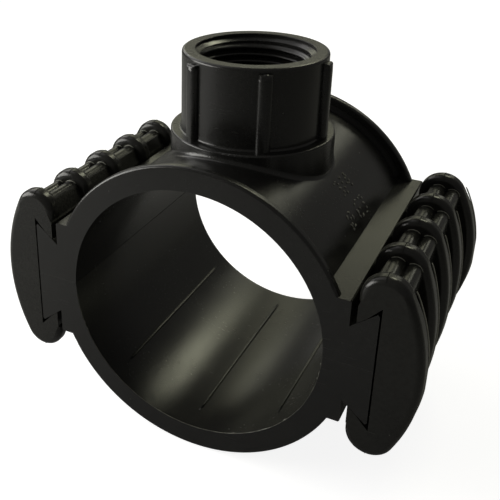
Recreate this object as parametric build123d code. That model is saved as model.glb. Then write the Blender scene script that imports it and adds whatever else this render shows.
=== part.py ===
from build123d import *
import math
import os

# Saddle clamp for a plastic pipe: two half shells held together by two wedge clips.
# Millimetres. The pipe runs along Y through the origin and the outlet points up along Z.

# Pipe bore and shell
pipe_radius = 31.5
pipe_clearance = 0.25
shell_wall = 2.55
saddle_length = 67.0
flange_height = 3.2
flange_thickness = 2.3
flange_rounding = 0.7
flange_foot_fillet = 0.5
parting_bevel = 0.15

# Jaws: the block at each side of the shell, and the tapered rail that it carries
neck_x = 36.8
shelf_height = 15.6
shelf_bevel = 0.3
rail_depth = 5.95
rail_root_height = 9.5
rail_tip_height = 14.0
rail_tip_bevel = 0.4
wedge_angle = 1.25
jaw_overlap = 6.0

# Wedge clips
fin_count = 5
fin_pitch = 14.8
fin_thickness = 4.4
fin_rim_rounding = 1.6
front_fin_gap = 1.2
fin_gap = 0.4
end_fin_reach = 16.1
middle_fin_reach = 15.1
fin_crest_height = 22.5
fin_nose_reach = 12.0
fin_heel_height = 15.8
fin_root_depth = 2.5
fin_root_fall = 1.5
wedge_gap = 0.1
rail_face_gap = 0.4
hook_relief_height = 0.8
hook_relief_width = 3.0
clip_wall_gap = 1.4
clip_wall_thickness = 4.45
hook_slope_start = 15.0
hump_edge_setback = 1.9
hump_edge_drop = 2.85
hump_edge_bevel = 0.3
inner_hump_radius = 2.1
inner_hump_drop = 2.35
outer_hump_radius = 1.85
outer_hump_drop = 3.0

# Outlet
collar_radius = 20.1
collar_rise = 2.1
collar_rounding = 0.4
collar_foot_fillet = 1.2
boss_radius = 17.5
boss_rise = 19.5
boss_rim_rounding = 0.7
boss_foot_fillet = 0.6
mouth_radius = 14.4
mouth_depth = 0.9
mouth_cone_depth = 0.7
thread_radius = 13.22
thread_length = 16.8
passage_radius = 10.5
rib_count = 6
rib_width = 3.0
rib_height = 1.3
rib_overlap = 1.0
rib_top_gap = 1.2
rib_rounding = 0.7

# Seal round the outlet, in a seat that opens into the bore
seal_outer_radius = 18.2
seal_width = 4.4
seal_side_gap = 0.1
seal_crown = 2.4
seal_standoff = 0.05
seal_rounding = 0.4

# Grip ribs along the floor of the lower half
grip_count = 3
grip_spread = 41.0
grip_length = 55.0
grip_front_height = 0.12
grip_rear_height = 0.2
grip_front_width = 0.5
grip_rear_width = 0.9
grip_root = 0.6

# Sizes that follow from the ones above
bore_radius = pipe_radius + pipe_clearance
shell_radius = bore_radius + shell_wall
flange_radius = shell_radius + flange_height
collar_top = shell_radius + collar_rise
boss_top = collar_top + boss_rise
seal_inner_radius = seal_outer_radius - seal_width
seal_top = pipe_radius + seal_crown
front_y = -saddle_length / 2
rear_y = saddle_length / 2
taper = math.tan(math.radians(wedge_angle))
rail_x = neck_x + rail_depth
rail_slope = (rail_tip_height - rail_root_height) / (rail_depth - rail_tip_bevel)
wall_inner_x = neck_x + clip_wall_gap
cavity_x = rail_x + rail_face_gap
wall_outer_x = cavity_x + clip_wall_thickness
clip_length = (fin_count - 1) * fin_pitch + fin_thickness
hook_rise = wedge_gap * math.sqrt(1 + rail_slope**2)
beyond = 5.0


def drop(y):
    """How much lower the tapered rail and clip are at y than at the front face."""
    return (y - front_y) * taper


def section(outline, y):
    """Face across the pipe at y, from an outline drawn as (x, z) at the front face."""
    corners = [(x, y, z - drop(y)) for x, z in outline]
    return Face(Wire.make_polygon(corners))


def along_wedge(face, length):
    """A face run along the pipe while it comes down with the wedge."""
    return Solid.extrude(face, Vector(0, length, -length * taper))


def half_space(side):
    size = 6 * flange_radius
    return Pos(0, 0, side * size / 2) * Box(size, size, size)


def both_ways_up(shape):
    upper = shape & half_space(1)
    return upper + mirror(upper, about=Plane.XY)


def cylinder_along_pipe(radius, length):
    """Cylinder round the pipe's axis, with its seam at the bottom."""
    return Rot(0, 90, 0) * Rot(90, 0, 0) * Cylinder(radius, length)


def shell_ring():
    """The shell all round: its wall and the rounded flange at each end, seam at the bottom."""
    inside = bore_radius - parting_bevel
    flange_inner_y = rear_y - flange_thickness
    outline = Polyline(
        (inside, front_y), (flange_radius, front_y), (flange_radius, -flange_inner_y),
        (shell_radius, -flange_inner_y), (shell_radius, flange_inner_y),
        (flange_radius, flange_inner_y), (flange_radius, rear_y), (inside, rear_y), close=True,
    )
    profile = make_face(outline)
    rims = profile.vertices().filter_by_position(Axis.X, flange_radius - 0.1, flange_radius + 0.1)
    profile = fillet(rims, flange_rounding)
    feet = profile.vertices().filter_by_position(Axis.X, shell_radius - 0.01, shell_radius + 0.01)
    profile = fillet(feet, flange_foot_fillet)
    return Rot(0, 90, 0) * revolve(profile, Axis.Y)


def rail():
    """Tapered rail on the +X side of the upper half: an undercut lip that the clip hooks over."""
    root_x = neck_x - jaw_overlap
    outline = [
        (root_x, -beyond), (rail_x, -beyond), (rail_x, rail_tip_height - rail_tip_bevel),
        (rail_x - rail_tip_bevel, rail_tip_height), (neck_x, rail_root_height),
        (root_x, rail_root_height),
    ]
    return along_wedge(section(outline, front_y), saddle_length) & half_space(1)


def jaw():
    """Block on the +X side that joins the shell to the rail, flat on top."""
    start_x = math.sqrt((bore_radius + shell_wall / 2) ** 2 - shelf_height**2)
    width = neck_x - start_x
    block = Box(width, saddle_length, shelf_height, align=(Align.MIN, Align.CENTER, Align.MIN))
    top_edge = block.edges().filter_by(Axis.Y).sort_by(Axis.Z)[-2:].sort_by(Axis.X)[-1]
    block = chamfer(top_edge, shelf_bevel)
    return Pos(start_x, 0, 0) * block + rail()


def parting_bevels():
    """Slim square bars that take the bore's two long edges off at the parting face."""
    bar = Box(parting_bevel * math.sqrt(2), saddle_length + beyond, parting_bevel * math.sqrt(2))
    bar = Rot(0, 45, 0) * bar
    return Pos(bore_radius, 0, 0) * bar + Pos(-bore_radius, 0, 0) * bar


def half_shell():
    """What both halves share, the upper way up."""
    side = jaw()
    ring = shell_ring() & half_space(1)
    half = ring + side + mirror(side, about=Plane.YZ)
    return half - cylinder_along_pipe(bore_radius, saddle_length + beyond)


def outlet_form():
    """Collar and boss, turned about the outlet's axis, with the vertical grip ribs."""
    base = math.sqrt(bore_radius**2 - collar_radius**2)
    outline = Polyline(
        (0, base), (collar_radius, base), (collar_radius, collar_top),
        (boss_radius, collar_top), (boss_radius, boss_top), (0, boss_top), close=True,
    )
    profile = Plane.XZ * make_face(outline)
    corners = profile.vertices().filter_by_position(Axis.Z, collar_top - 0.1, boss_top + 0.1)
    collar_rim = corners.filter_by_position(Axis.X, collar_radius - 0.01, collar_radius + 0.01)
    profile = fillet(collar_rim, collar_rounding)
    foot = profile.vertices().filter_by_position(Axis.X, boss_radius - 0.01, boss_radius + 0.01)
    profile = fillet(foot.sort_by(Axis.Z)[0], boss_foot_fillet)
    rim = profile.vertices().filter_by_position(Axis.X, boss_radius - 0.01, boss_radius + 0.01)
    profile = fillet(rim.sort_by(Axis.Z)[-1], boss_rim_rounding)
    return revolve(profile, Axis.Z) + grip_flutes()


def grip_flutes():
    """Vertical ribs round the boss, rounded at the top and along both outer edges."""
    depth = rib_height + rib_overlap
    height = boss_top - rib_top_gap - collar_top
    rib = Box(depth, rib_width, height, align=(Align.MIN, Align.CENTER, Align.MIN))
    outer = rib.faces().sort_by(Axis.X)[-1].edges()
    rib = fillet(outer.sort_by(Axis.Z)[1:], rib_rounding)
    first = Pos(boss_radius - rib_overlap, 0, collar_top) * rib
    return [Rot(0, 0, 360 / rib_count * i) * first for i in range(rib_count)]


def outlet_way():
    """What is open down the outlet: stepped mouth, threaded length and passage to the pipe."""
    mouth_floor = boss_top - mouth_depth
    cone_end = mouth_floor - mouth_cone_depth
    thread_floor = boss_top - thread_length
    outline = Polyline(
        (0, boss_top + beyond), (mouth_radius, boss_top + beyond),
        (mouth_radius, mouth_floor), (thread_radius, cone_end), (thread_radius, thread_floor),
        (passage_radius, thread_floor), (passage_radius, 0), (0, 0), close=True,
    )
    return revolve(Plane.XZ * make_face(outline), Axis.Z)


def seal_seat():
    inner = seal_inner_radius - seal_side_gap
    outer = seal_outer_radius + seal_side_gap
    ring = Cylinder(outer, seal_top, align=(Align.CENTER, Align.CENTER, Align.MIN))
    core = Cylinder(inner, seal_top, align=(Align.CENTER, Align.CENTER, Align.MIN))
    return ring - core


def on_collar_foot(edge):
    """Whether an edge runs round the collar on the shell's outside."""
    middle = edge.position_at(0.5)
    on_collar = abs(math.hypot(middle.X, middle.Y) - collar_radius) < parting_bevel
    on_shell = abs(math.hypot(middle.X, middle.Z) - shell_radius) < parting_bevel
    return on_collar and on_shell and edge.geom_type != GeomType.LINE


def upper_saddle():
    body = half_shell() + outlet_form()
    body = fillet(body.edges().filter_by(on_collar_foot), collar_foot_fillet)
    body = body - cylinder_along_pipe(bore_radius, saddle_length + beyond)
    body = body - outlet_way() - seal_seat() - parting_bevels()
    return body


def grip_rib():
    """One low rib on the bore's floor, wider and higher to the rear, with rounded ends."""
    def outline_at(y, width, height):
        face = Plane.XZ.offset(-y) * Rectangle(width, height + grip_root)
        return Pos(0, 0, -bore_radius + (height - grip_root) / 2) * face
    front = outline_at(-grip_length / 2, grip_front_width, grip_front_height)
    rear = outline_at(grip_length / 2, grip_rear_width, grip_rear_height)
    return loft([front, rear], ruled=True)


def lower_saddle():
    body = mirror(half_shell(), about=Plane.XY) - parting_bevels()
    rib = grip_rib()
    for i in range(grip_count):
        body = body + Rot(0, (i - (grip_count - 1) / 2) * grip_spread, 0) * rib
    return body


def outlet_seal():
    """Rubber ring in the seat, with its lower face shaped to the pipe."""
    base = Cylinder(seal_outer_radius, seal_top, align=(Align.CENTER, Align.CENTER, Align.MIN))
    hole = Cylinder(seal_inner_radius, seal_top, align=(Align.CENTER, Align.CENTER, Align.MIN))
    ring = base - hole
    ring = fillet(ring.faces().sort_by(Axis.Z)[-1].edges(), seal_rounding)
    return ring - cylinder_along_pipe(pipe_radius + seal_standoff, 4 * seal_outer_radius)


def fin_plate(y, nose, side):
    """Flat plate whose outline is a nose, its mirror image below and the outer side between."""
    heel = nose[0].position_at(0)
    root_x = heel.X + fin_root_depth
    root = Polyline(
        (heel.X, heel.Y), (root_x, heel.Y - fin_root_fall),
        (root_x, fin_root_fall - heel.Y), (heel.X, -heel.Y),
    )
    outline = Curve() + nose + [mirror(edge, about=Plane.XZ) for edge in nose] + side + root
    return extrude(Plane.XZ.offset(-y) * make_face(outline), amount=-fin_thickness)


def rounded_rim(plate, end):
    """The plate with the front (0) or rear (-1) rim rounded, but not where it enters the wall."""
    heel_z = fin_heel_height - drop(plate.bounding_box().min.Y)
    edges = plate.faces().filter_by(Axis.Y).sort_by(Axis.Y)[end].edges()
    rim = [e for e in edges if e.center().X > cavity_x or abs(e.center().Z) > heel_z]
    return fillet(rim, fin_rim_rounding)


def fin(y, gap, reach):
    """One fin: round over its nose, and down its outer side round in front and sharp behind."""
    nose_radius = (fin_nose_reach - gap) / 2
    nose_x = neck_x + gap + nose_radius
    nose_z = fin_crest_height - nose_radius - drop(y)
    span = neck_x + reach - nose_x
    side_radius = (span**2 + nose_z**2 - nose_radius**2) / (2 * (span - nose_radius))
    side_x = neck_x + reach - side_radius
    blend = math.atan2(nose_z, nose_x - side_x)

    def on_nose(angle):
        return nose_x + nose_radius * math.cos(angle), nose_z + nose_radius * math.sin(angle)
    crest = math.pi / 2
    meet = on_nose(blend)
    nose = [
        Line((neck_x + gap, fin_heel_height - drop(y)), on_nose(2 * crest)),
        ThreePointArc(on_nose(2 * crest), on_nose(1.5 * crest), on_nose(crest)),
        ThreePointArc(on_nose(crest), on_nose((crest + blend) / 2), meet),
    ]
    curve = ThreePointArc(meet, (neck_x + reach, 0), (meet[0], -meet[1]))
    wedge = Polyline(meet, (meet[0] + meet[1] * math.tan(blend), 0), (meet[0], -meet[1]))
    plate = fin_plate(y, nose, curve)
    cover = fin_plate(y, nose, wedge)
    return rounded_rim(plate, 0) & rounded_rim(cover, -1)


def clip_wall():
    """The clip's body between the fins: hooks, two humps above, flat outer side."""
    edge_x = wall_inner_x + hump_edge_setback
    edge_z = fin_crest_height - hump_edge_drop
    inner_z = fin_crest_height - inner_hump_drop - inner_hump_radius
    outer_z = fin_crest_height - outer_hump_drop - outer_hump_radius
    inner_x = edge_x + inner_hump_radius
    outer_x = wall_outer_x - outer_hump_radius
    outline = [
        (wall_inner_x, -beyond), (wall_outer_x, -beyond), (wall_outer_x, outer_z),
        (inner_x, inner_z), (inner_x, inner_z + inner_hump_radius),
        (edge_x + hump_edge_bevel, edge_z), (edge_x, edge_z - hump_edge_bevel),
        (wall_inner_x, hook_slope_start),
    ]
    core = along_wedge(section(outline, front_y), clip_length)
    humps = [(inner_x, inner_z, inner_hump_radius), (outer_x, outer_z, outer_hump_radius)]
    for x, z, radius in humps:
        disc = Plane((x, front_y, z), x_dir=(1, 0, 0), z_dir=(0, 1, 0)) * Circle(radius)
        core = core + along_wedge(disc.face(), clip_length)
    return both_ways_up(core)


def clip_channel():
    """What is open inside the clip: the rails' room, its corner reliefs and the hooks' mouth."""
    def incline(x):
        return rail_root_height + (x - neck_x) * rail_slope + hook_rise
    relief_x = cavity_x - hook_relief_width
    outline = [
        (neck_x, -beyond), (cavity_x, -beyond), (cavity_x, incline(cavity_x) + hook_relief_height),
        (relief_x, incline(relief_x)), (neck_x, incline(neck_x)),
    ]
    run = section(outline, front_y - beyond)
    return both_ways_up(along_wedge(run, clip_length + 2 * beyond))


def wedge_clip():
    """Clip on the +X side."""
    body = clip_wall()
    for i in range(fin_count):
        gap = front_fin_gap if i == 0 else fin_gap
        reach = end_fin_reach if i in (0, fin_count - 1) else middle_fin_reach
        body = body + fin(front_y + i * fin_pitch, gap, reach)
    return body - clip_channel()


os.makedirs("parts", exist_ok=True)
right_clip = wedge_clip()
left_clip = Rot(0, 180, 0) * right_clip
parts = {
    "upper_saddle": upper_saddle(),
    "lower_saddle": lower_saddle(),
    "outlet_seal": outlet_seal(),
    "right_wedge_clip": right_clip,
    "left_wedge_clip": left_clip,
}
for name, shape in parts.items():
    solids = shape.solids()
    print(name, len(solids), round(shape.volume, 1), shape.bounding_box())
    export_step(shape, f"parts/{name}.step")
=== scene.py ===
import math

import bpy
from mathutils import Matrix, Vector


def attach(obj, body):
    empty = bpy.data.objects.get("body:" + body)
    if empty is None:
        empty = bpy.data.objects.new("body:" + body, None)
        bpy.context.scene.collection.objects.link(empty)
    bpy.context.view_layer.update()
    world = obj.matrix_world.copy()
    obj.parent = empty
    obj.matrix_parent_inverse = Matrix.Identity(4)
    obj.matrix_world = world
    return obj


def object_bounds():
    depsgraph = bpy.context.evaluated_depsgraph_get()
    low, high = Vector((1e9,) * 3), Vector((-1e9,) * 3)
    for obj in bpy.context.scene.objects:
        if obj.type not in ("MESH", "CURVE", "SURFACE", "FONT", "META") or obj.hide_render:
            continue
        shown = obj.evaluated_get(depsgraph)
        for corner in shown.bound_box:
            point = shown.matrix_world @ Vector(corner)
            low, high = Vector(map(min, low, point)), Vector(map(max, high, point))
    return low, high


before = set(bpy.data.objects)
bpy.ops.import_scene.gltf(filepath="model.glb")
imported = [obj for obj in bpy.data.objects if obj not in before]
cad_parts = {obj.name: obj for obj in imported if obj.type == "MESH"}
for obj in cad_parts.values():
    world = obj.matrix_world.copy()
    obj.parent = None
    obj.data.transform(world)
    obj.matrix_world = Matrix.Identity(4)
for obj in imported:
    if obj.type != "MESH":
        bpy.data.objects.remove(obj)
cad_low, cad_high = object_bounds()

# Saddle clamp in black moulded plastic. Sizes are in millimetres and become metres at the mesh.
MM = 0.001

# Sizes of the two half shells that the drawn details share with the solids
BORE_RADIUS = 31.75
SHELL_RADIUS = 34.3
FRONT_Y = -33.5
FLANGE_WALL_Y = 31.2
GRIP_LENGTH = 55.0
GRIP_SPREAD = 41

# Sizes of the outlet
COLLAR_RADIUS = 20.1
COLLAR_TOP = 36.4
BOSS_RADIUS = 17.5
BOSS_TOP = 55.9
RIB_COUNT = 6
RIB_TOP = 54.7
MOUTH_RADIUS = 14.4
THREAD_MAJOR = 13.22
THREAD_MINOR = 12.06
THREAD_PITCH = 1.814
THREAD_TOP = 54.3
THREAD_BOTTOM = 39.5

# Sizes of the wedge clips
NECK_X = 36.8
FIN_COUNT = 5
FIN_PITCH = 14.8
FIN_THICKNESS = 4.4
FIN_CREST = 22.5
FIN_REACHES = (16.1, 15.1, 15.1, 15.1, 16.1)
FIN_GAPS = (1.2, 0.4, 0.4, 0.4, 0.4)
FIN_NOSE_REACH = 12.0
FIN_ROUNDING = 1.6
TAPER = math.tan(math.radians(1.25))

# Each hump of a clip's body: x and z of its axis at the front, its radius, and where its flash
# starts and stops round it in degrees
HUMPS = ((42.2, 18.05, 2.1, 165, 42), (45.75, 17.65, 1.85, 128, 10))

# Camera, found by fitting the solids' edges to the photograph's frame of 500 by 500
CAMERA_AT = Vector((69.194, -173.166, 105.521)) * MM
CAMERA_YAW = math.radians(28.56)
CAMERA_PITCH = math.radians(23.97)
CAMERA_ROLL = math.radians(-0.26)
FOCAL_PIXELS = 798.77
FRAME_PIXELS = 500.0
AIM_PIXEL = (163.29, 174.47)
SENSOR_WIDTH = 36.0

# Soft boxes, all aimed at the clamp: name, place and size in metres, watts, colour
SOFT_BOXES = (
    ("rear_box", (0.094, 0.595, 0.669), (0.22, 0.25), 1.22, (1.0, 1.0, 0.74)),
    ("low_rear_box", (0.184, 0.799, 0.418), (0.16, 0.14), 0.12, (1.0, 1.0, 0.80)),
    ("rear_panel", (-0.290, 0.795, 0.431), (0.50, 0.18), 0.28, (1.0, 1.0, 0.70)),
    ("rear_left_panel", (-0.526, 0.508, 0.325), (0.35, 0.18), 0.24, (1.0, 1.0, 0.78)),
    ("left_box", (-0.370, 0.165, 0.294), (0.30, 0.22), 0.34, (1.0, 0.98, 0.98)),
    ("top_left_box", (-0.190, 0.000, 0.329), (0.25, 0.20), 0.10, (1.0, 0.99, 0.98)),
    ("front_box", (-0.252, -0.134, 0.093), (0.22, 0.16), 0.70, (1.0, 0.99, 0.94)),
)
ROOM_COLOUR = (0.140, 0.137, 0.128, 1)
WHITE = (1, 1, 1, 1)
TABLE_REACH = 3000
TABLE_GREY = (0.38, 0.38, 0.38, 1)
TABLE_GLOW = 0.88


def photo_camera():
    """Camera at the photograph's own angle; the shift places its off-centre crop."""
    forward = Vector((
        -math.sin(CAMERA_YAW) * math.cos(CAMERA_PITCH),
        math.cos(CAMERA_YAW) * math.cos(CAMERA_PITCH),
        -math.sin(CAMERA_PITCH),
    ))
    level = Vector((math.cos(CAMERA_YAW), math.sin(CAMERA_YAW), 0))
    upward = level.cross(forward)
    right = math.cos(CAMERA_ROLL) * level + math.sin(CAMERA_ROLL) * upward
    up = math.cos(CAMERA_ROLL) * upward - math.sin(CAMERA_ROLL) * level
    data = bpy.data.cameras.new("photo_camera")
    data.sensor_width = SENSOR_WIDTH
    data.lens = FOCAL_PIXELS / FRAME_PIXELS * SENSOR_WIDTH
    data.shift_x = 0.5 - AIM_PIXEL[0] / FRAME_PIXELS
    data.shift_y = AIM_PIXEL[1] / FRAME_PIXELS - 0.5
    data.clip_start = 0.01
    camera = bpy.data.objects.new("photo_camera", data)
    turn = Matrix((right, up, -forward)).transposed().to_4x4()
    camera.matrix_world = Matrix.Translation(CAMERA_AT) @ turn
    bpy.context.scene.collection.objects.link(camera)
    bpy.context.scene.camera = camera


# Meshes

def inside(point):
    """The point, in metres, moved inside the CAD model's box."""
    return Vector([min(max(c, low), high) for c, low, high in zip(point, cad_low, cad_high)])


def add_mesh(name, points, faces, smooth=True, boxed=True):
    """Mesh object from points in millimetres; a boxed one is kept inside the CAD model's box."""
    mesh = bpy.data.meshes.new(name)
    places = [Vector(p) * MM for p in points]
    mesh.from_pydata([inside(p) for p in places] if boxed else places, [], faces)
    mesh.validate()
    mesh.shade_smooth() if smooth else mesh.shade_flat()
    piece = bpy.data.objects.new(name, mesh)
    bpy.context.scene.collection.objects.link(piece)
    return piece


def tube(rings, backwards=False):
    """Points and faces of a closed tube through rings that have equally many points.

    The faces look outwards where a ring runs clockwise, seen along the tube; backwards is for
    rings that run the other way.
    """
    width = len(rings[0])
    points = [point for ring in rings for point in ring]
    faces = []
    for start in range(0, len(points) - width, width):
        for j in range(width):
            a, b = start + j, start + (j + 1) % width
            faces.append((a, b, b + width, a + width))
    faces.append(tuple(reversed(range(width))))
    faces.append(tuple(range(len(points) - width, len(points))))
    if backwards:
        faces = [(face[0], *face[:0:-1]) for face in faces]
    return points, faces


def joined(name, parts):
    """One piece from several lots of points and faces."""
    points, faces = [], []
    for new_points, new_faces in parts:
        base = len(points)
        points += new_points
        faces += [tuple(base + k for k in face) for face in new_faces]
    return add_mesh(name, points, faces)


def across_pipe(angle):
    """Unit vector square to the pipe's axis, at an angle in degrees above +X."""
    return Vector((math.cos(math.radians(angle)), 0, math.sin(math.radians(angle))))


def across_outlet(angle):
    """Unit vector square to the outlet's axis, at an angle in degrees from +X."""
    return Vector((math.cos(math.radians(angle)), math.sin(math.radians(angle)), 0))


def evenly(start, stop, steps):
    """Values from start to stop in equal steps, both ends included."""
    return [start + (stop - start) * i / steps for i in range(steps + 1)]


# Light and table

def soft_box(name, place, size, watts, colour):
    """Rectangular light aimed at the clamp's middle, unseen by the camera."""
    data = bpy.data.lights.new(name, "AREA")
    data.shape = "RECTANGLE"
    data.size, data.size_y = size
    data.energy = watts
    data.color = colour
    light = bpy.data.objects.new(name, data)
    place = Vector(place)
    turn = (-place).to_track_quat("-Z", "Y").to_matrix().to_4x4()
    light.matrix_world = Matrix.Translation(place) @ turn
    light.visible_camera = False
    bpy.context.scene.collection.objects.link(light)


def dim_room():
    """A dim room for the clamp, which the camera sees as plain white."""
    world = bpy.data.worlds.new("pale_room")
    world.use_nodes = True
    bpy.context.scene.world = world
    w = Wiring(world.node_tree)
    seen = w.node("ShaderNodeLightPath").outputs["Is Camera Ray"]
    w.feed(world.node_tree.nodes["Background"].inputs["Color"], w.mix_colour(seen, ROOM_COLOUR, WHITE))


def pale_table():
    """White table under the clamp, which shows its shadow faintly."""
    low = cad_low.z / MM
    corners = [
        (-TABLE_REACH, -TABLE_REACH, low), (TABLE_REACH, -TABLE_REACH, low),
        (TABLE_REACH, TABLE_REACH, low), (-TABLE_REACH, TABLE_REACH, low),
    ]
    table = add_mesh("table", corners, [(0, 1, 2, 3)], smooth=False, boxed=False)
    material = bpy.data.materials.new("white_table")
    material.use_nodes = True
    material.node_tree.nodes.clear()
    w = Wiring(material.node_tree)
    matt = w.node("ShaderNodeBsdfDiffuse", {"Color": TABLE_GREY})
    seen = w.node("ShaderNodeLightPath").outputs["Is Camera Ray"]
    glow = w.node("ShaderNodeEmission", {"Strength": w.math("MULTIPLY", seen, TABLE_GLOW)})
    both = w.node("ShaderNodeAddShader", {0: matt.outputs[0], 1: glow.outputs[0]})
    w.node("ShaderNodeOutputMaterial", {"Surface": both.outputs[0]})
    table.data.materials.append(material)


# Effects that the finishes share

class Wiring:
    """Adds nodes to a tree and joins them; a value or another node's socket may feed an input."""

    def __init__(self, tree):
        self.tree = tree

    def node(self, kind, feeds=None, **settings):
        node = self.tree.nodes.new(kind)
        for key, value in settings.items():
            setattr(node, key, value)
        for key, value in (feeds or {}).items():
            self.feed(node.inputs[key], value)
        return node

    def feed(self, socket, value):
        if isinstance(value, bpy.types.NodeSocket):
            self.tree.links.new(value, socket)
        else:
            socket.default_value = value

    def math(self, operation, a, b=0.0, clamp=False):
        return self.node("ShaderNodeMath", {0: a, 1: b}, operation=operation, use_clamp=clamp).outputs[0]

    def share(self, value, weight):
        """A value times its weight."""
        return self.math("MULTIPLY", value, weight)

    def band(self, value, low, high):
        """Smooth step from 0 to 1 while a value goes from low to high."""
        return self.node(
            "ShaderNodeMapRange", {"Value": value, "From Min": low, "From Max": high},
            interpolation_type="SMOOTHSTEP",
        ).outputs["Result"]

    def noise(self, where, scale, detail, rough):
        return self.node(
            "ShaderNodeTexNoise", {"Vector": where, "Scale": scale, "Detail": detail, "Roughness": rough},
        ).outputs["Fac"]

    def mix_colour(self, factor, a, b):
        """Colour a where the factor is 0 and colour b where it is 1."""
        # For colours this node has its factor in input 0, its colours in 6 and 7, its result in 2
        mix = self.node("ShaderNodeMix", data_type="RGBA")
        self.feed(mix.inputs[0], factor)
        self.feed(mix.inputs[6], a)
        self.feed(mix.inputs[7], b)
        return mix.outputs[2]


def effect(name, inputs, outputs):
    """Empty node group with named number sockets: the group, its wiring, inputs and outputs."""
    group = bpy.data.node_groups.new(name, "ShaderNodeTree")
    for label, value in inputs.items():
        socket = group.interface.new_socket(label, in_out="INPUT", socket_type="NodeSocketFloat")
        socket.default_value = value
    for label in outputs:
        group.interface.new_socket(label, in_out="OUTPUT", socket_type="NodeSocketFloat")
    given = group.nodes.new("NodeGroupInput")
    result = group.nodes.new("NodeGroupOutput")
    return group, Wiring(group), given.outputs, result.inputs


def moulded_grain():
    """The skin a mould leaves: a fine grain, a slow waviness and a faint mottle."""
    group, w, given, result = effect(
        "moulded_grain", {"Grain Scale": 2600.0, "Wave Scale": 130.0, "Mottle Scale": 55.0},
        ("Height", "Mottle"),
    )
    where = w.node("ShaderNodeTexCoord").outputs["Object"]
    grain = w.noise(where, given["Grain Scale"], 3.0, 0.6)
    wave = w.noise(where, given["Wave Scale"], 1.0, 0.4)
    w.feed(result["Height"], w.math("ADD", w.share(grain, 0.75), w.share(wave, 0.25)))
    broad = w.noise(where, given["Mottle Scale"], 3.0, 0.6)
    small = w.noise(where, w.share(given["Mottle Scale"], 22.0), 2.0, 0.6)
    mottle = w.math("ADD", w.share(broad, 0.45), w.share(small, 0.55))
    w.feed(result["Mottle"], w.band(mottle, 0.32, 0.68))
    return group


def handling_scuffs():
    """Fine straight scratches in two directions, and soft rubbed patches."""
    group, w, given, result = effect(
        "handling_scuffs", {"Scratch Scale": 1.0, "Smudge Scale": 75.0}, ("Scratches", "Smudges"),
    )
    where = w.node("ShaderNodeTexCoord").outputs["Object"]
    lines = []
    for turn, stretch in (((0.5, 0.3, 0.4), (70, 2300, 2300)), ((1.9, 0.8, -0.7), (110, 2900, 2900))):
        turned_way = w.node(
            "ShaderNodeMapping", {"Vector": where, "Rotation": turn, "Scale": stretch},
        ).outputs["Vector"]
        streak = w.noise(turned_way, given["Scratch Scale"], 1.0, 0.4)
        lines.append(w.band(streak, 0.70, 0.78))
    patches = w.noise(where, given["Smudge Scale"], 4.0, 0.6)
    rubbed_here = w.band(patches, 0.42, 0.62)
    w.feed(result["Scratches"], w.share(w.math("MAXIMUM", lines[0], lines[1]), rubbed_here))
    w.feed(result["Smudges"], w.band(patches, 0.38, 0.66))
    return group


def rubbed_edges():
    """A mask of the outer edges, broken up where they are less rubbed."""
    group, w, given, result = effect(
        "rubbed_edges", {"Edge Width": 0.0003, "Break Scale": 420.0}, ("Edge",),
    )
    where = w.node("ShaderNodeTexCoord").outputs["Object"]
    rounded = w.node("ShaderNodeBevel", {"Radius": given["Edge Width"]}, samples=4).outputs["Normal"]
    plain = w.node("ShaderNodeNewGeometry").outputs["Normal"]
    along = w.node("ShaderNodeVectorMath", {0: rounded, 1: plain}, operation="DOT_PRODUCT").outputs["Value"]
    edge = w.band(along, 0.985, 0.86)
    open_air = w.node("ShaderNodeAmbientOcclusion", {"Distance": 0.0005}, samples=4).outputs["AO"]
    outer = w.share(edge, w.band(open_air, 0.72, 0.92))
    broken = w.band(w.noise(where, given["Break Scale"], 3.0, 0.6), 0.36, 0.6)
    w.feed(result["Edge"], w.math("MULTIPLY", outer, broken, clamp=True))
    return group


def settled_dust():
    """Thin dust on what faces up, and sparse specks everywhere."""
    group, w, given, result = effect(
        "settled_dust", {"Film": 0.35, "Speck Scale": 900.0, "Speck Size": 0.15}, ("Dust",),
    )
    coordinates = w.node("ShaderNodeTexCoord").outputs
    where = coordinates["Object"]
    up = w.node("ShaderNodeSeparateXYZ", {"Vector": coordinates["Normal"]}).outputs["Z"]
    patchy = w.band(w.noise(where, 160.0, 4.0, 0.65), 0.35, 0.75)
    film = w.share(w.share(w.band(up, 0.35, 1.0), patchy), given["Film"])
    cells = w.node(
        "ShaderNodeTexVoronoi", {"Vector": where, "Scale": given["Speck Scale"]}, feature="F1",
    )
    chance = w.node("ShaderNodeSeparateColor", {"Color": cells.outputs["Color"]}).outputs["Red"]
    rare = w.math("GREATER_THAN", chance, 0.982)
    speck = w.share(w.math("LESS_THAN", cells.outputs["Distance"], given["Speck Size"]), rare)
    w.feed(result["Dust"], w.math("MAXIMUM", film, w.share(speck, 0.6)))
    return group


GRAIN = moulded_grain()
SCUFFS = handling_scuffs()
EDGES = rubbed_edges()
DUST = settled_dust()


def place(wiring, group, **values):
    """Puts an effect in a material with this finish's own values; gives its outputs."""
    node = wiring.node("ShaderNodeGroup")
    node.node_tree = group
    for label, value in values.items():
        wiring.feed(node.inputs[label], value)
    return node.outputs


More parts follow.
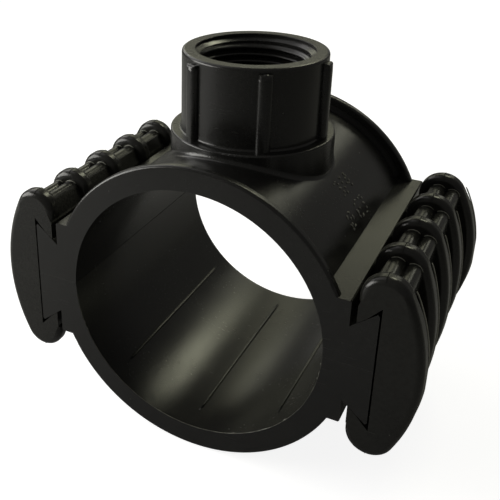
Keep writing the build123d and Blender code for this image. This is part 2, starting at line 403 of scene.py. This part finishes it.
def black_moulding(name, deep, pale, rubbed, dusty, rough, sheen, grain_height, film, wear):
    """Finish of one moulding: deep and pale are the two ends of its mottle."""
    material = bpy.data.materials.new(name)
    material.use_nodes = True
    shader = material.node_tree.nodes["Principled BSDF"]
    w = Wiring(material.node_tree)
    grain = place(w, GRAIN)
    scuffs = place(w, SCUFFS)
    edges = place(w, EDGES)
    dust = place(w, DUST, Film=film)
    colour = w.mix_colour(grain["Mottle"], (*deep, 1), (*pale, 1))
    marked = w.math("MAXIMUM", w.share(edges["Edge"], wear), w.share(scuffs["Scratches"], 0.12))
    colour = w.mix_colour(marked, colour, (*rubbed, 1))
    w.feed(shader.inputs["Base Color"], w.mix_colour(dust["Dust"], colour, (*dusty, 1)))
    smudged = w.share(w.math("SUBTRACT", scuffs["Smudges"], 0.5), 0.035)
    roughness = w.math("ADD", rough, smudged)
    roughness = w.math("ADD", roughness, w.share(scuffs["Scratches"], 0.05))
    roughness = w.math("ADD", roughness, w.share(dust["Dust"], 0.35), clamp=True)
    w.feed(shader.inputs["Roughness"], roughness)
    height = w.math("SUBTRACT", grain["Height"], w.share(scuffs["Scratches"], 0.07))
    bump = w.node("ShaderNodeBump", {"Strength": 1.0, "Distance": grain_height, "Height": height})
    w.feed(shader.inputs["Normal"], bump.outputs["Normal"])
    shader.inputs["Specular IOR Level"].default_value = sheen
    return material


# Beads are thin ridges laid along a surface. Their section is half widths across and heights up.
BEAD_SECTION = ((-0.5, -0.6), (-0.4, 0.35), (-0.16, 0.95), (0.16, 0.95), (0.4, 0.35), (0.5, -0.6))
BEAD_END = 0.45


def bead(path, normals, width, height):
    """Points and faces of one bead, narrower at both ends; width and height may be lists."""
    rings = []
    path = [Vector(p) for p in path]
    last = len(path) - 1
    widths = width if isinstance(width, list) else [width] * len(path)
    heights = height if isinstance(height, list) else [height] * len(path)
    for i, (at, normal, wide, high) in enumerate(zip(path, normals, widths, heights)):
        normal = Vector(normal).normalized()
        along = (path[min(i + 1, last)] - path[max(i - 1, 0)]).normalized()
        across = along.cross(normal).normalized()
        end = BEAD_END if i in (0, last) else 1.0
        rings.append([
            at + across * (side * wide * end) + normal * (rise * high * (end if rise > 0 else 1))
            for side, rise in BEAD_SECTION
        ])
    return tube(rings)


def beads(name, runs):
    """One piece from several beads; each run is (path, normals, width, height)."""
    return joined(name, [bead(*run) for run in runs])


# Clips: flash and joint lines of the mould, drawn for the upper half of the right clip

def turned(run, side):
    """A run drawn on the right clip, given its place on the left one by half a turn."""
    if side > 0:
        return run
    path, normals, width, height = run
    return [(-x, y, -z) for x, y, z in path], [(-x, y, -z) for x, y, z in normals], width, height


def flipped(run):
    """The same run below the parting plane."""
    path, normals, width, height = run
    return [(x, y, -z) for x, y, z in path], [(x, y, -z) for x, y, z in normals], width, height


def fin_front(k):
    """Front of fin k along the pipe, and how much lower the taper has brought it there."""
    front = FRONT_Y + k * FIN_PITCH
    return front, (front - FRONT_Y) * TAPER


def fin_nose(k):
    """Place and radius of fin k's nose, as the solid has them."""
    radius = (FIN_NOSE_REACH - FIN_GAPS[k]) / 2
    return NECK_X + FIN_GAPS[k] + radius, FIN_CREST - radius - fin_front(k)[1], radius


def rim_flash(k):
    """The moulding's flash along a fin's sharp rear edge, down its outer side."""
    width, height, steps, sink = 0.36, 0.18, 40, 0.01
    nose_x, nose_z, nose_radius = fin_nose(k)
    tip_x = NECK_X + FIN_REACHES[k]
    span = tip_x - nose_x
    side_radius = (span**2 + nose_z**2 - nose_radius**2) / (2 * (span - nose_radius))
    side_x = tip_x - side_radius
    blend = math.degrees(math.atan2(nose_z, nose_x - side_x)) * 0.97
    rear = fin_front(k)[0] + FIN_THICKNESS - sink
    path, normals = [], []
    for angle in evenly(blend, -blend, steps):
        out = across_pipe(angle)
        path.append((side_x + side_radius * out.x, rear, side_radius * out.z))
        normals.append((out.x * 0.75, 0.65, out.z * 0.75))
    return path, normals, width, height


def crest_mark(k):
    """The little step that the mould's joint leaves across a fin's crest."""
    at_x, width, height, steps, inset = 43.0, 0.22, 0.10, 14, 0.15
    nose_x, nose_z, nose_radius = fin_nose(k)
    crest = nose_z + math.sqrt(nose_radius**2 - (at_x - nose_x) ** 2)
    path, normals = [], []
    for t in evenly(inset, FIN_THICKNESS - inset, steps):
        lean = max(0.0, FIN_ROUNDING - min(t, FIN_THICKNESS - t))
        fall = FIN_ROUNDING - math.sqrt(FIN_ROUNDING**2 - lean**2)
        slope = lean / FIN_ROUNDING * (-1 if t < FIN_THICKNESS / 2 else 1)
        path.append((at_x, fin_front(k)[0] + t, crest - fall))
        normals.append((0, slope, math.sqrt(1 - slope**2)))
    return path, normals, width, height


def hump_flash(k, x, z, radius, start, stop):
    """Thin flash where a hump of the clip's body meets the front of fin k."""
    width, height, steps, clear, ahead = 0.2, 0.14, 12, 0.05, 0.03
    front, lower = fin_front(k)
    path, normals = [], []
    for angle in evenly(start, stop, steps):
        out = across_pipe(angle)
        path.append(Vector((x, front - ahead, z - lower)) + out * (radius + clear))
        normals.append((out.x * 0.7, -0.7, out.z * 0.7))
    return path, normals, width, height


def face_line(k):
    """The thin line on the front of fin k, from the hump down to the hook's edge."""
    width, height, steps, ahead = 0.16, 0.09, 6, 0.01
    x, z, run = 42.1, 19.4, 3.3
    front, lower = fin_front(k)
    path = [(x - fall, front - ahead, z - lower - fall) for fall in evenly(0, run, steps)]
    return path, [(0, -1, 0)] * len(path), width, height


def clip_flash(side):
    """All the flash on one clip; side is 1 for the right clip and -1 for the left."""
    runs = [rim_flash(k) for k in range(FIN_COUNT)]
    for k in range(1, FIN_COUNT):
        for run in [face_line(k)] + [hump_flash(k, *hump) for hump in HUMPS]:
            runs += [run, flipped(run)]
    return [turned(run, side) for run in runs]


def crest_lines(side):
    """The joint lines across all the crests of one clip."""
    marks = [crest_mark(k) for k in range(FIN_COUNT)]
    return [turned(run, side) for mark in marks for run in (mark, flipped(mark))]


# Raised size figures on the flank

def arc(cx, cy, rx, ry, start, stop, steps=14):
    """Points of an arc in the plane, its angles in degrees."""
    turns = [math.radians(angle) for angle in evenly(start, stop, steps)]
    return [(cx + rx * math.cos(turn), cy + ry * math.sin(turn)) for turn in turns]


# Strokes of each figure in a box one high, with the width that it takes
SIX_STEM = arc(0.36, 0.62, 0.36, 0.38, 75, 180, 8) + [(0.0, 0.30)]
FIGURES = {
    "3": (0.56, [arc(0.24, 0.75, 0.24, 0.25, 150, -80) + arc(0.24, 0.27, 0.27, 0.27, 80, -150)]),
    "4": (0.60, [[(0.44, 0.0), (0.44, 1.0), (0.0, 0.30), (0.58, 0.30)]]),
    "6": (0.56, [SIX_STEM, arc(0.27, 0.28, 0.27, 0.28, 180, -180)]),
    "/": (0.50, [[(0.04, -0.08), (0.44, 1.08)]]),
    "o": (0.72, [arc(0.33, 0.5, 0.33, 0.42, 90, -270, 20), [(0.06, -0.02), (0.60, 1.02)]]),
    " ": (0.35, []),
}
FIGURE_GAP = 0.18

# Each row of figures: its text, where it starts along the pipe, its foot's angle and its height
SIZE_ROWS = (("3/4", -2.6, 43.0, 4.1), ("o 63", -7.2, 31.0, 4.6))


def in_short_steps(stroke, step):
    """The stroke with its long straight parts cut about one step apart."""
    fine = []
    for a, b in zip(stroke, stroke[1:]):
        parts = max(1, int(math.dist(a, b) / step))
        fine += [(a[0] + (b[0] - a[0]) * i / parts, a[1] + (b[1] - a[1]) * i / parts) for i in range(parts)]
    return fine + [stroke[-1]]


def raised_figures(text, start_y, foot_angle, height):
    """A row of figures that reads from front to rear, cut in short dashes as the mould left them."""
    width, rise, step, dash_points, repeat = 0.46, 0.30, 0.32, 3, 4
    runs = []
    y = start_y
    for letter in text:
        letter_width, strokes = FIGURES[letter]
        for stroke in strokes:
            placed = []
            for u, v in in_short_steps(stroke, step / height):
                out = across_pipe(foot_angle + math.degrees(v * height / SHELL_RADIUS))
                placed.append((out * SHELL_RADIUS + Vector((0, y + u * height, 0)), out))
            for i in range(0, len(placed) - 2, repeat):
                points, normals = zip(*placed[i:i + dash_points])
                runs.append((points, normals, width, rise))
        y += (letter_width + FIGURE_GAP) * height
    return runs


# Small forms on the shells

# Where the flash at the bore's front edge stands up, in degrees, with its height and half width
BURRS = (
    (-3.6, 0.26, 0.5), (-8.2, 0.24, 0.7), (-10.8, 0.22, 0.4), (-17.0, 0.10, 1.5), (-39.6, 0.24, 0.8),
    (-52.0, 0.12, 2.0), (-67.7, 0.20, 0.8), (-156.2, 0.22, 0.7), (-159.9, 0.24, 0.7),
)


def bore_flash():
    """A thin ragged edge left round the lower half of the bore, at the front."""
    width, low_height, ripple, steps, behind = 0.22, 0.035, 0.02, 440, 0.12
    path, normals, heights = [], [], []
    for angle in evenly(-2.0, -178.0, steps):
        out = across_pipe(angle)
        path.append(out * BORE_RADIUS + Vector((0, FRONT_Y + behind, 0)))
        normals.append(-out)
        rise = sum(h * math.exp(-(((angle - a) / w) ** 2)) for a, h, w in BURRS)
        heights.append(low_height + ripple * math.sin(angle * 1.7) * math.sin(angle * 0.43) + rise)
    return [(path, normals, width, heights)]


def grip_edges():
    """The three low grip ribs along the bore's floor, a little higher and wider to the rear."""
    steps, end_gap = 24, 0.1
    widths, heights = evenly(0.80, 1.20, steps), evenly(0.34, 0.52, steps)
    runs = []
    for angle in (270 - GRIP_SPREAD, 270, 270 + GRIP_SPREAD):
        out = across_pipe(angle)
        half = GRIP_LENGTH / 2
        path = [out * BORE_RADIUS + Vector((0, y, 0)) for y in evenly(end_gap - half, half, steps)]
        runs.append((path, [-out] * len(path), widths, heights))
    return runs


def boss_ribs():
    """The boss's upright ribs with their full rounded fronts and finger-shaped tops."""
    half_width, height, power, root = 1.72, 1.46, 2.5, 0.5
    foot, foot_edge, middle, top = COLLAR_TOP - 0.1, 0.08, 46.0, RIB_TOP + 0.15
    section = []
    for angle in evenly(-90, 90, 16):
        turn = math.radians(angle)
        across = math.copysign(abs(math.sin(turn)) ** (2 / power), math.sin(turn)) * half_width
        section.append((across, abs(math.cos(turn)) ** (2 / power) * height))
    section += [(half_width, -root), (-half_width, -root)]
    levels = [(foot, 1.0), (foot + foot_edge, 1.0), (middle, 1.0), (top - half_width - 0.1, 1.0)]
    for angle in evenly(0, 82.5, 11):
        turn = math.radians(angle)
        levels.append((top - half_width * (1 - math.sin(turn)), math.cos(turn)))
    parts = []
    for k in range(RIB_COUNT):
        out = across_outlet(360 / RIB_COUNT * k)
        side = Vector((-out.y, out.x, 0))
        rings = []
        for z, size in levels:
            rise = 0.35 + 0.65 * size
            rings.append([
                out * (BOSS_RADIUS + (high * rise if high > 0 else high)) + side * (across * size)
                + Vector((0, 0, z))
                for across, high in section
            ])
        parts.append(tube(rings))
    return joined("boss_ribs", parts)


def mouth_edges():
    """The fine ragged line of flash round the inner edge of the outlet's mouth."""
    width, low_height, ragged_height, steps = 0.24, 0.10, 0.12, 120
    path, normals, heights = [], [], []
    for angle in evenly(20, 380, steps):
        out = across_outlet(angle)
        path.append(out * (MOUTH_RADIUS + 0.02) + Vector((0, 0, BOSS_TOP - 0.15)))
        normals.append(-out)
        turn = math.radians(angle)
        ragged = max(0.0, math.sin(5 * turn) * math.sin(11 * turn + 1)) ** 3
        heights.append(low_height + ragged_height * ragged)
    return [(path, normals, width, heights)]


def collar_joints():
    """The mould's joint lines down the collar, two at each side."""
    width, height, steps, foot_gap, top_gap = 0.20, 0.09, 8, 0.9, 0.5
    runs = []
    for angle in (15.5, 36.0, 195.5, 216.0):
        out = across_outlet(angle)
        low = math.sqrt(SHELL_RADIUS**2 - (COLLAR_RADIUS * out.x) ** 2) + foot_gap
        path = [
            out * COLLAR_RADIUS + Vector((0, 0, z)) for z in evenly(low, COLLAR_TOP - top_gap, steps)
        ]
        runs.append((path, [out] * len(path), width, height))
    return runs


def flange_feet():
    """The soft hollow where each flange's inner side runs down to the shell."""
    radius, lift, sink, arc_steps, ring_steps = 1.3, 0.02, 0.15, 8, 60
    profile = []
    for angle in evenly(0, 90, arc_steps):
        turn = math.radians(angle)
        profile.append((
            FLANGE_WALL_Y - radius + (radius + lift) * math.sin(turn),
            SHELL_RADIUS + radius - (radius + lift) * math.cos(turn),
        ))
    profile += [
        (FLANGE_WALL_Y + sink, SHELL_RADIUS + radius), (FLANGE_WALL_Y + sink, SHELL_RADIUS - sink),
        (FLANGE_WALL_Y - radius, SHELL_RADIUS - sink),
    ]
    parts = []
    for side in (1, -1):
        for start, stop in ((27.5, 152.5), (207.5, 332.5)):
            rings = []
            for angle in evenly(start, stop, ring_steps):
                out = across_pipe(angle)
                rings.append([out * r + Vector((0, side * y, 0)) for y, r in profile])
            parts.append(tube(rings, backwards=side < 0))
    return joined("flange_feet", parts)


# Half of a thread turn's section: pitches across, and depths in from the thread's outer radius
THREAD_SECTION = (
    (-0.5, 0.0), (-0.36, 0.14), (-0.2, 0.62), (-0.08, 0.97), (0.08, 0.97), (0.2, 0.62), (0.36, 0.14),
    (0.5, 0.0),
)


def outlet_thread():
    """The outlet's right-hand thread: one rounded ridge wound down the bore."""
    steps, first_turn, sink, spread, run_in_turns = 96, 2.4, 0.03, 0.98, 0.25
    depth = THREAD_MAJOR - THREAD_MINOR
    count = int((THREAD_TOP - THREAD_BOTTOM) / THREAD_PITCH * steps)
    rings = []
    for i in range(count + 1):
        out = across_outlet(-math.degrees(2 * math.pi * i / steps + first_turn))
        z = THREAD_TOP - THREAD_PITCH * (0.5 + i / steps)
        run_in = min(1.0, i / (run_in_turns * steps), (count - i) / (run_in_turns * steps))
        rings.append([
            out * (THREAD_MAJOR - rise * depth * run_in if rise else THREAD_MAJOR + sink)
            + Vector((0, 0, z + across * THREAD_PITCH * spread))
            for across, rise in THREAD_SECTION
        ])
    return joined("outlet_thread", [tube(rings, backwards=True)])


photo_camera()
for box in SOFT_BOXES:
    soft_box(*box)
dim_room()
pale_table()

# Finishes
shell_finish = black_moulding(
    "moulded_shell", deep=(0.0095, 0.0094, 0.0089), pale=(0.0145, 0.0144, 0.0136),
    rubbed=(0.060, 0.060, 0.054), dusty=(0.070, 0.069, 0.060),
    rough=0.24, sheen=0.45, grain_height=0.000040, film=0.03, wear=0.30,
)
# The clip's base colours are about a quarter paler than the shell's: the clip's own black plus painted
# light on the clips' fronts.
clip_finish = black_moulding(
    "moulded_clip", deep=(0.0118, 0.0117, 0.0105), pale=(0.0178, 0.0177, 0.0158),
    rubbed=(0.060, 0.060, 0.050), dusty=(0.070, 0.069, 0.058),
    rough=0.21, sheen=0.36, grain_height=0.000030, film=0.04, wear=0.35,
)
seal_finish = black_moulding(
    "seal_rubber", deep=(0.0070, 0.0070, 0.0070), pale=(0.0110, 0.0110, 0.0108),
    rubbed=(0.030, 0.030, 0.029), dusty=(0.060, 0.058, 0.052),
    rough=0.62, sheen=0.35, grain_height=0.00006, film=0.10, wear=0.15,
)
# The flash beads' pale colours are a painted highlight: they stand in for the light that the fins' sharp
# edges catch.
flash_highlight_finish = black_moulding(
    "moulding_flash_painted_highlight", deep=(0.190, 0.190, 0.160), pale=(0.320, 0.320, 0.270),
    rubbed=(0.400, 0.396, 0.330), dusty=(0.120, 0.118, 0.096),
    rough=0.26, sheen=0.50, grain_height=0.00002, film=0.10, wear=0.60,
)
seam_finish = black_moulding(
    "dark_seam", deep=(0.0020, 0.0020, 0.0018), pale=(0.0050, 0.0050, 0.0046),
    rubbed=(0.060, 0.060, 0.052), dusty=(0.050, 0.049, 0.043),
    rough=0.60, sheen=0.15, grain_height=0.00002, film=0.02, wear=0.10,
)
# A darker colour here is painted shade in the flanges' hollows; its higher roughness and lower sheen are
# the finish.
foot_painted_shade_finish = black_moulding(
    "hollow_painted_shade", deep=(0.0080, 0.0080, 0.0074), pale=(0.0120, 0.0120, 0.0112),
    rubbed=(0.040, 0.040, 0.036), dusty=(0.050, 0.049, 0.043),
    rough=0.58, sheen=0.20, grain_height=0.00004, film=0.03, wear=0.10,
)
# The bore edge's pale colours are a painted highlight: they stand in for the light that the edge's chamfer
# catches.
edge_highlight_finish = black_moulding(
    "ragged_edge_painted_highlight", deep=(0.060, 0.060, 0.052), pale=(0.110, 0.110, 0.095),
    rubbed=(0.200, 0.198, 0.165), dusty=(0.120, 0.118, 0.096),
    rough=0.26, sheen=0.50, grain_height=0.00002, film=0.10, wear=0.60,
)
# The figures' pale colours are a painted highlight: they stand in for the light that the small raised
# strokes catch.
figure_highlight_finish = black_moulding(
    "raised_figures", deep=(0.180, 0.180, 0.160), pale=(0.280, 0.280, 0.250),
    rubbed=(0.380, 0.380, 0.340), dusty=(0.200, 0.198, 0.170),
    rough=0.20, sheen=0.60, grain_height=0.00002, film=0.10, wear=0.80,
)
for node, finish in (
    ("upper_saddle", shell_finish), ("lower_saddle", shell_finish), ("outlet_seal", seal_finish),
    ("left_wedge_clip", clip_finish), ("right_wedge_clip", clip_finish),
):
    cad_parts[node].data.materials.clear()
    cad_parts[node].data.materials.append(finish)

# Each drawn piece with its finish, the body that it rides on and its slot
figures = [run for row in SIZE_ROWS for run in raised_figures(*row)]
for piece, finish, body, slot in (
    (outlet_thread(), shell_finish, "saddle", "black_plastic"),
    (beads("right_clip_flash", clip_flash(1)), flash_highlight_finish, "right_clip", "clip_plastic"),
    (beads("left_clip_flash", clip_flash(-1)), flash_highlight_finish, "left_clip", "clip_plastic"),
    (beads("size_figures", figures), figure_highlight_finish, "saddle", "black_plastic"),
    (beads("bore_flash", bore_flash()), edge_highlight_finish, "saddle", "black_plastic"),
    (beads("grip_ribs", grip_edges()), shell_finish, "saddle", "black_plastic"),
    (beads("mouth_ring", mouth_edges()), shell_finish, "saddle", "black_plastic"),
    (beads("collar_joints", collar_joints()), shell_finish, "saddle", "black_plastic"),
    (boss_ribs(), shell_finish, "saddle", "black_plastic"),
    (beads("right_crest_lines", crest_lines(1)), seam_finish, "right_clip", "clip_plastic"),
    (beads("left_crest_lines", crest_lines(-1)), seam_finish, "left_clip", "clip_plastic"),
    (flange_feet(), foot_painted_shade_finish, "saddle", "black_plastic"),
):
    piece.data.materials.append(finish)
    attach(piece, body)

bpy.context.scene.view_settings.view_transform = "Standard"
